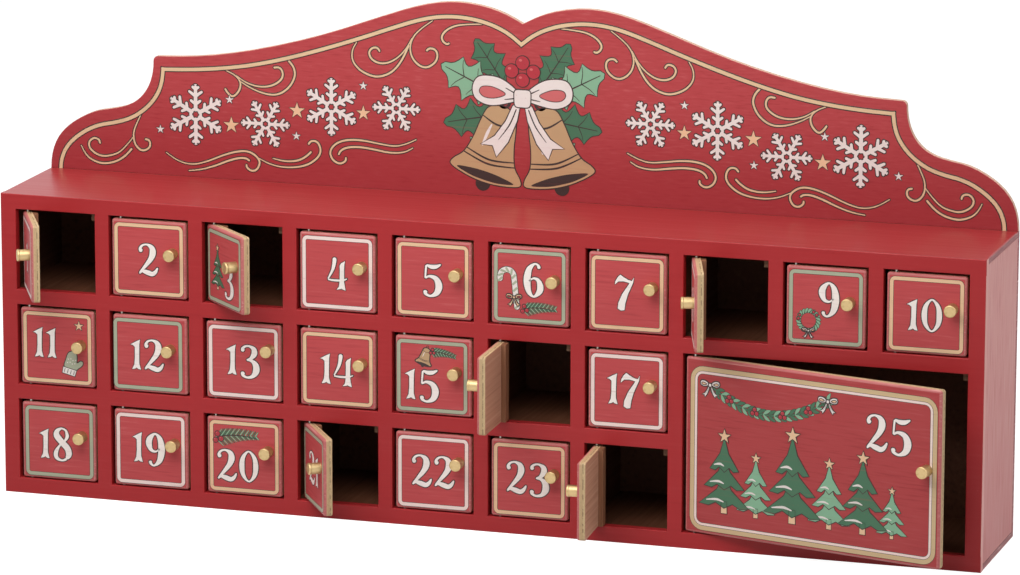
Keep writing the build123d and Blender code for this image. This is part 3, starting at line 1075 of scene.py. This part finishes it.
def drawFir(drawing, at, size, ink="pine", layer=1):
    stamp = Stamp(drawing, at, size)
    trunk = [(-0.045, 0), (0.045, 0), (0.04, 0.16), (-0.04, 0.16)]
    stamp.shape("straw", layer, trunk, edges["trunk"], smooth=False)
    for tier, (foot, width, top) in enumerate(((0.1, 0.36, 0.52), (0.34, 0.29, 0.75), (0.57, 0.21, 1.0))):
        skirt = [(width, foot), (width * 0.62, foot - 0.015), (width * 0.34, foot + 0.035), (0, foot - 0.03)]
        skirt += mirrored(skirt[:-1])
        middle = (foot + top) / 2
        outline = [(0, top), (-width * 0.3, middle)] + skirt[::-1] + [(width * 0.3, middle)]
        stamp.shape(ink, layer + 1 + 2 * tier, outline, edges["fir"], smooth=False)
        snow = [(-width * 0.72, foot + 0.055, 0.006), (-width * 0.3, foot + 0.075, 0.016)]
        stamp.line("snow", layer + 3 + 2 * tier, snow + [(0, foot + 0.05, 0.006)])
    drawStar(drawing, (at[0], at[1] + 1.01 * size), max(0.2 * size, 3.4), "straw", layer + 8)


def drawCane(drawing, at, size, turn, flip, layer):
    bend, half = 0.17, 0.068 * size
    hook = []
    for angle in range(20, 200, 40):
        turned = math.radians(angle)
        hook.append((bend - bend * math.cos(turned), 0.3 + bend * math.sin(turned)))
    line = [(0.0, -0.5), (0.0, -0.1), (0.0, 0.22)] + hook + [(2 * bend, 0.2)]
    middle = placed(line, at, size, turn, flip)
    drawing.line("snow", layer, middle, half, edge=edges["cane"])
    for first, second in zip(middle, middle[1:]):
        run = Vector(second) - Vector(first)
        count = max(1, round(run.length / (0.15 * size)))
        across = Vector((-run.y, run.x)).normalized() * half * 0.82 + run.normalized() * half * 0.6 * flip
        for step in range(count):
            spot = Vector(first) + run * ((step + 0.5) / count)
            band = [tuple(spot - across), tuple(spot + across)]
            drawing.line("sage", layer + 1, band, half * 0.42, blunt=True)


def drawMitten(drawing, at, size, turn):
    stamp = Stamp(drawing, at, size, turn)
    hand = [(-0.24, -0.2), (-0.26, 0.12), (-0.22, 0.38), (-0.06, 0.5), (0.12, 0.44), (0.2, 0.22)]
    hand += [(0.22, 0.1), (0.34, 0.22), (0.45, 0.2), (0.46, 0.06), (0.34, -0.1), (0.22, -0.2)]
    stamp.shape("sage", 2, hand, edges["mitten"])
    cuff = [(-0.28, -0.46), (0.26, -0.46), (0.28, -0.2), (-0.3, -0.2)]
    stamp.shape("snow", 4, cuff, edges["mitten"], smooth=False)
    for rib in range(4):
        x = -0.2 + 0.13 * rib
        stamp.line("line", 5, [(x, -0.42, 0.012), (x, -0.24, 0.012)])
    for row in (0.0, 0.14):
        for step in range(4):
            spot = stamp.spot(-0.16 + 0.1 * step, row + 0.04 * (step % 2))
            drawing.shape("snow", 4, ellipse(spot, 0.025 * size, 0.025 * size, 6), 0)


def drawWreath(drawing, at, size):
    ring = 0.36 * size
    leaf = [(0, -0.09, 0.01), (0.02, 0.0, 0.045), (0, 0.12, 0.008)]
    for ink, layer, lean, shift in (("pine", 2, 38, 0.0), ("mint", 4, -34, 0.5)):
        for step in range(20):
            angle = 18 * (step + shift)
            stamp = Stamp(drawing, around(at, ring, angle), size, angle + 90 + lean)
            stamp.line(ink, layer, leaf, edge=edges["wreath"])
    for angle in (35, 60, 150, 172, 260):
        drawBerry(drawing, around(at, ring, angle), 0.055 * size, 6)
    drawBow(drawing, (at[0], at[1] - ring), 0.24 * size, "snow", 8, "straw")


def drawSprig(drawing, at, size, turn):
    stamp = Stamp(drawing, at, size, turn)
    stem = [(-0.5, 0.0, 0.012), (-0.2, 0.05, 0.014), (0.15, 0.03, 0.012), (0.5, -0.05, 0.008)]
    stamp.line("line", 4, stem)
    for step in range(17):
        share = step / 16
        x = -0.46 + 0.94 * share
        y = 0.05 * math.sin(math.pi * (share * 0.9 + 0.05))
        reach = 0.2 * (1 - 0.55 * share)
        ink, layer = ("pine", 3) if step % 2 else ("mint", 2)
        for side in (-1, 1):
            lift = side * reach
            needle = [(x, y, 0.014), (x + reach * 0.55, y + lift * 0.6, 0.013)]
            stamp.line(ink, layer, needle + [(x + reach * 0.9, y + lift, 0.005)], edge=edges["needle"])
    for x, y in ((-0.4, 0.1), (-0.46, -0.04), (-0.33, -0.02)):
        drawBerry(drawing, stamp.spot(x, y), 0.062 * size, 6)


# Door prints: a stripe just inside the edge, the day's number, and here and there a figure
stripeMake = {
    "half": 1.08, "edge": 0.25, "left": 2.65, "right": 2.9, "low": 2.5, "high": 3.1, "corner": 2.0,
    "cornerSteps": 5,
}
stripeInks = {
    "blush": (1, 4, 8, 13, 17, 19, 22), "straw": (2, 5, 7, 10, 11, 14, 16, 20, 23),
    "sage": (3, 6, 9, 12, 15, 18, 21, 24),
}
stripeShifts = {12: -1.2, 15: -0.6, 18: 0.3, 19: -0.2}  # sideways, as printed by hand
usualPlace = (22.5, 22.4)
numberPlaces = {  # where a number's middle is off the usual place
    2: (21.9, 22.3), 3: (28.2, 16.5), 5: (21.9, 22.7), 6: (24.6, 25.9), 7: (20.8, 23.5), 9: (24.4, 28),
    10: (21.6, 22.1), 11: (14.9, 25.2), 12: (20.7, 22.2), 13: (22.1, 23.5), 14: (21.9, 22.4),
    15: (15.8, 17.3), 17: (20.6, 23.5), 18: (20.5, 21.1), 19: (21.3, 23.5), 20: (18.6, 16.9),
    22: (22.1, 23), 23: (21.4, 23.6),
}
doorFigures = {  # for each figure what draws it, its place and size, and what else it takes
    3: [(drawFir, (14, 9), 24)],
    6: [
        (drawCane, (14, 20.5), 24, 6, -1, 4), (drawBow, (13.4, 15.5), 4.6, "straw", 10, "berry"),
        (drawSprig, (27.5, 9.4), 20, 4),
    ],
    9: [(drawWreath, (12.8, 14.4), 16)],
    11: [(drawMitten, (31, 13.5), 15, -14), (drawStar, (36, 36), 6.5)],
    15: [(drawBell, (16.4, 28.8), 10, -16), (drawSprig, (28, 35.5), 15, -8)],
    20: [(drawSprig, (17, 33.5), 26, 6)],
}


def stripe(drawing, ink, door, make, half, inset=0.0, layer=1, shift=0.0):
    left, low = make["left"] + inset, make["low"] + inset
    right, high = door["width"] - make["right"] - inset, door["height"] - make["high"] - inset
    ring = roundedLoop(right - left, high - low, 0, make["corner"] - inset, stripeMake["cornerSteps"])
    points = [(x + left + shift, y + low) for x, y in ring]
    drawing.line(ink, layer, points, half, closed=True, smooth=False, edge=stripeMake["edge"])


def drawSmallDoor(drawing, door):
    number = door["number"]
    ink = next(name for name, numbers in stripeInks.items() if number in numbers)
    stripe(drawing, ink, door, stripeMake, stripeMake["half"], shift=stripeShifts.get(number, 0.0))
    drawNumber(drawing, number, numberPlaces.get(number, usualPlace))
    for draw, *values in doorFigures.get(number, []):
        draw(drawing, *values)


largeMake = {
    "tanHalf": 1.4, "whiteHalf": 0.75, "left": 4.5, "right": 3.6, "low": 3.4, "high": 6.0, "corner": 6.4,
    "number": (127.2, 72.6), "numberSize": 1.1, "ground": 13.5,
    "firs": [(25, 44), (45, 34), (68, 50), (91, 37), (112, 43), (130, 27)],  # place on the ground, and size
}
swagMake = {
    "cord": [(15, 86, 0.5), (33, 76.5, 0.6), (52, 73.5, 0.6), (71, 76.5, 0.6), (90, 86, 0.5)],
    "left": 16, "wide": 73, "low": 73.5, "rise": 12.3, "leaves": 23, "clusters": (0.16, 0.38, 0.62, 0.84),
    "berry": 1.35, "bows": ((15.5, 86), (89.5, 86)), "bowSize": 6.2,
}


def swagSpot(share):
    make = swagMake
    return (make["left"] + make["wide"] * share, make["low"] + make["rise"] * (2 * share - 1) ** 2)


def drawSwag(drawing):
    make = swagMake
    drawing.line("pine", 2, make["cord"], edge=edges["swag"])
    for step in range(make["leaves"]):
        share = step / (make["leaves"] - 1)
        lean = math.degrees(math.atan2(make["rise"] * 4 * (2 * share - 1), make["wide"]))
        stamp = Stamp(drawing, swagSpot(share), 1.0, lean)
        for side in (-1, 1):
            leaf = [(0, 0, 0.2), (2.2, side * 1.9, 1.0), (4.6, side * 3.1, 0.15)]
            stamp.line("pine" if step % 2 else "mint", 3, leaf, edge=edges["swagLeaf"])
    for share in make["clusters"]:
        for turn in (90, 210, 330):
            drawBerry(drawing, around(swagSpot(share), 1.5, turn), make["berry"], 5)
    for at in make["bows"]:
        drawBow(drawing, at, make["bowSize"], "snow", 6, "straw")


def drawLargeDoor(drawing, door):
    make = largeMake
    stripe(drawing, "oat", door, make, make["tanHalf"])
    stripe(drawing, "blush", door, make, make["whiteHalf"], make["tanHalf"] + make["whiteHalf"], 3)
    drawNumber(drawing, door["number"], make["number"], make["numberSize"])
    for at, (x, size) in enumerate(make["firs"]):
        ink, layer = ("mint", 1) if at % 2 else ("pine", 11)  # the small ones stand behind
        drawFir(drawing, (x, make["ground"]), size, ink, layer)
    drawSwag(drawing)


for door in doors:
    drawing = Drawing()
    draw = drawLargeDoor if door["number"] == len(doors) else drawSmallDoor
    draw(drawing, door)
    drawing.build(door["body"] + "_print", door["body"], door["placement"], door["offset"])
print("door prints built")


# Crest print: a stripe that follows the outline, scrolls in each half, and a winter design between
crestStripe = {"half": 1.1, "edge": 0.6, "spread": 1.0, "shift": (-0.8, -0.5)}
crestFlank = [
    (282, -0.5), (281.5, 6), (278, 14), (270, 21.5), (259, 27.5), (246, 30), (236, 33.5), (227, 40),
    (221, 47.5), (218, 55), (217, 64.2),
]
crestHump = [
    (218.2, 63), (197, 64), (178, 66), (160, 69), (140, 74), (117, 81), (95, 88.5), (76, 95.5), (60, 101),
    (48, 103.5), (36, 104), (24, 102.5), (14, 99.5), (6, 95.5), (-1.7, 89.4),
]
scrollMake = {"half": 0.6, "thin": 0.45, "swell": 0.46, "edge": 0.62}
scrolls = [  # each from its thin tail to its curl
    [(52, 101), (59, 96), (64, 91), (66, 85), (65, 79), (61, 74.5), (56, 73), (51, 76), (49, 80),
     (50, 84), (54, 85), (56, 83)],
    [(64.6, 90), (67.5, 84.5), (72, 79), (78, 75), (84, 74), (89, 76), (91, 80), (89, 83), (85.5, 83.5),
     (84, 81)],
    [(98, 86), (101, 81), (101, 75), (97, 70), (91, 67), (85, 66), (77, 69), (71, 76), (66.4, 86)],
    [(179, 65), (172, 62), (169, 58), (170, 53), (174, 49), (177, 51), (179, 54)],
    [(172, 62), (166, 58), (158, 56), (150, 57), (144, 61), (143, 65), (145, 68.5), (149, 68)],
    [(170, 59), (163, 55), (154, 52), (146, 52), (139, 57), (135.5, 64), (136.5, 69), (140, 73)],
    [(22, 100.5), (30, 100), (38, 99), (44, 96), (47, 92), (46, 89), (43.5, 87.5), (42, 88.5)],
    [(231, 36), (234, 30), (236, 25), (236, 20), (234.5, 16.5), (231.5, 14), (228, 14.5), (225.5, 17),
     (226, 20.5), (229, 21)],
    [(236, 22), (240, 17), (245, 12), (250, 10), (256, 9), (261, 11), (264, 14), (264, 17.5), (261, 20),
     (257.5, 19), (257, 16.5)],
    [(269, 15), (267, 11), (264, 7.5), (258, 5), (252.5, 5), (246, 7), (241, 10.5), (237, 15)],
    [(216, 14), (208, 9), (199.5, 7.5), (190.5, 10), (181.5, 14), (173, 17), (165, 18), (159.5, 15),
     (157.5, 11.5), (159.5, 7), (163, 6), (166, 8), (166, 10)],
    [(202, 4), (194, 5), (185, 8), (177, 11.5), (170.5, 13.5), (166, 13.5), (164, 12)],
    [(158.5, 14), (152, 11), (144, 9.5), (135.5, 10), (128, 12), (122, 16.5), (120, 21), (122, 26),
     (126, 26.5), (128, 24)],
    [(150, 14.5), (142, 13), (134, 14), (129, 17), (126, 20)],
    [(62, 31), (68, 28), (75, 26), (84, 27), (94, 28.5), (103.5, 28.5), (111, 26), (115, 21), (113.5, 16),
     (109, 13.5), (105, 15.5), (105, 18)],
    [(64, 26), (69, 23), (77.5, 22), (87, 23.5), (96, 24.5), (103.5, 24), (108, 22), (109.5, 19)],
]


def softened(points, rounds=3):  # cuts the corners of an open line and keeps its ends
    for turn in range(rounds):
        cut = [points[0]]
        for first, second in zip(points, points[1:]):
            for share in (0.25, 0.75):
                cut.append(tuple(a + (b - a) * share for a, b in zip(first, second)))
        points = cut + [points[-1]]
    return points


def drawScrolls(drawing, flip):
    middle = (crestStripe["spread"] * flip + crestStripe["shift"][0], crestStripe["shift"][1])
    half, edge = crestStripe["half"], crestStripe["edge"]
    for at, stroke in enumerate((crestFlank, crestHump)):
        points = placed(softened(stroke, 2), middle, flip=flip)
        drawing.line("cream", 4, points, half, smooth=False, blunt=True, edge=edge, ply=2 * at + (flip > 0))
    thin = scrollMake["thin"]
    for at, scroll in enumerate(scrolls):
        path = softened(scroll)
        points = []
        for step, (x, y) in enumerate(path):
            grown = min(1.0, step / (len(path) - 1) / scrollMake["swell"])
            points.append((x, y, scrollMake["half"] * (thin + (1 - thin) * grown)))
        points = placed(points, middle, flip=flip)
        drawing.line("cream", 2, points, smooth=False, edge=scrollMake["edge"], ply=at % 5)


flakes = [(199, 37, 36), (156, 34, 30), (115.5, 46.5, 34), (76, 48, 29)]  # place and size
goldStars = [(177, 32, 10.5), (136.5, 43, 10.5), (96, 44, 9.5)]
smallStars = [(178, 47, 6), (221, 27, 6), (137, 28, 6), (96, 60, 6)]


def drawWinterRow(drawing, flip):
    for at, (x, y, size) in enumerate(flakes):
        drawSnowflake(drawing, (x * flip, y), size, 30 * (at % 2))
    for ink, stars in (("straw", goldStars), ("snow", smallStars)):
        for x, y, size in stars:
            drawStar(drawing, (x * flip, y), size, ink)


bellsMake = {
    "leaves": [  # turn, size, place, ink and layer of the holly in each half
        (64, 40, (13, 58), "mint", 3), (100, 37, (11, 48), "pine", 1),
        (34, 33, (10, 64), "pine", 1), (128, 30, (9, 42), "mint", 3),
    ],
    "bell": (23, 10), "bellSize": 44, "lean": 15, "bow": (0, 58), "bowSize": 30,
    "berries": ((0, 69), (-6.5, 74), (6.5, 74), (0, 79)), "berry": 4.1,
}


def drawBells(drawing):
    make = bellsMake
    for flip, layer in ((-1, 6), (1, 10)):
        for turn, size, (x, y), ink, under in make["leaves"]:
            drawHollyLeaf(drawing, (x * flip, y), size, -turn * flip, ink, under)
        x, y = make["bell"]
        drawBell(drawing, (x * flip, y), make["bellSize"], make["lean"] * flip, layer)
    drawBow(drawing, make["bow"], make["bowSize"], "snow", 15, "rose")
    for at in make["berries"]:
        drawBerry(drawing, at, make["berry"], 22)


crest = Drawing()
for flip in (-1, 1):
    drawScrolls(crest, flip)
    drawWinterRow(crest, flip)
drawBells(crest)
crest.build("crest_print", "cabinet", crestPlacement)
print("crest print built")


# Camera where the photograph was taken from
cameraMake = {
    "at": (0.97836, -3.08965, 0.86559), "lens": 206.33, "sensor": 36.0, "clip": 0.05,
    "right": (0.953611, 0.301036, 0.00176), "up": (-0.068025, 0.209783, 0.975379),
}


def setCamera():
    make = cameraMake
    data = bpy.data.cameras.new("camera")
    data.lens = make["lens"]
    data.sensor_width = make["sensor"]
    data.clip_start = make["clip"]
    right, up = Vector(make["right"]), Vector(make["up"])
    turned = Matrix((right, up, right.cross(up))).transposed().to_4x4()
    camera = addObject("camera", data)
    camera.matrix_world = Matrix.Translation(make["at"]) @ turned
    bpy.context.scene.camera = camera


# Studio: soft lamps, a pale floor that goes white to the camera, an even white room
lamps = {
    "key": {"at": (-0.14, -0.52, 0.74), "aim": (0.0, 0.0, 0.14), "size": (0.9, 0.5), "power": 6.5},
    "fill": {"at": (1.6, -0.25, 0.95), "aim": (0.28, 0.0, 0.1), "size": (1.0, 1.0), "power": 9.2},
    "top": {"at": (0.0, 0.5, 2.2), "aim": (0.0, 0.1, 0.1), "size": (1.8, 1.2), "power": 12},
}
roomMake = {"ambient": 0.15, "floorGlow": 0.92, "floor": (184, 184, 184), "floorReach": 8.0}


def setLamps():
    for name, make in lamps.items():
        data = bpy.data.lights.new(name, "AREA")
        data.shape = "RECTANGLE"
        data.size, data.size_y = make["size"]
        data.energy = make["power"]
        aim = Vector(make["aim"]) - Vector(make["at"])
        turned = aim.to_track_quat("-Z", "Y").to_matrix().to_4x4()
        addObject(name, data).matrix_world = Matrix.Translation(make["at"]) @ turned


def seenDirectly(graph):
    kinds = ("Is Camera Ray", "Is Glossy Ray", "Is Transmission Ray")
    camera, glossy, through = graph.node("ShaderNodeLightPath", {}, {}, kinds)
    return camera.most(glossy).most(through)


def setRoom():
    world = bpy.data.worlds.new("room")
    bpy.context.scene.world = world
    world.use_nodes = True
    world.node_tree.nodes.clear()
    graph = Graph(world.node_tree)
    strength = roomMake["ambient"] + seenDirectly(graph) * (1 - roomMake["ambient"])
    light = graph.node("ShaderNodeBackground", {}, {"Color": (1, 1, 1, 1), "Strength": strength})
    graph.node("ShaderNodeOutputWorld", {}, {"Surface": light}, None)
    material, graph = newFinish("paleFloor")
    matte = graph.node("ShaderNodeBsdfDiffuse", {}, {"Color": tint(*roomMake["floor"])})
    glow = graph.node("ShaderNodeEmission", {}, {"Strength": seenDirectly(graph) * roomMake["floorGlow"]})
    both = graph.node("ShaderNodeAddShader", {}, {0: matte, 1: glow})
    graph.node("ShaderNodeOutputMaterial", {}, {"Surface": both}, None)
    shape = bmesh.new()
    bmesh.ops.create_grid(shape, x_segments=1, y_segments=1, size=roomMake["floorReach"])
    mesh = bpy.data.meshes.new("floor")
    shape.to_mesh(mesh)
    shape.free()
    mesh.materials.append(material)
    addObject("floor", mesh)


setCamera()
setLamps()
setRoom()
bpy.context.scene.view_settings.view_transform = "Standard"
print("camera, lamps and room set")
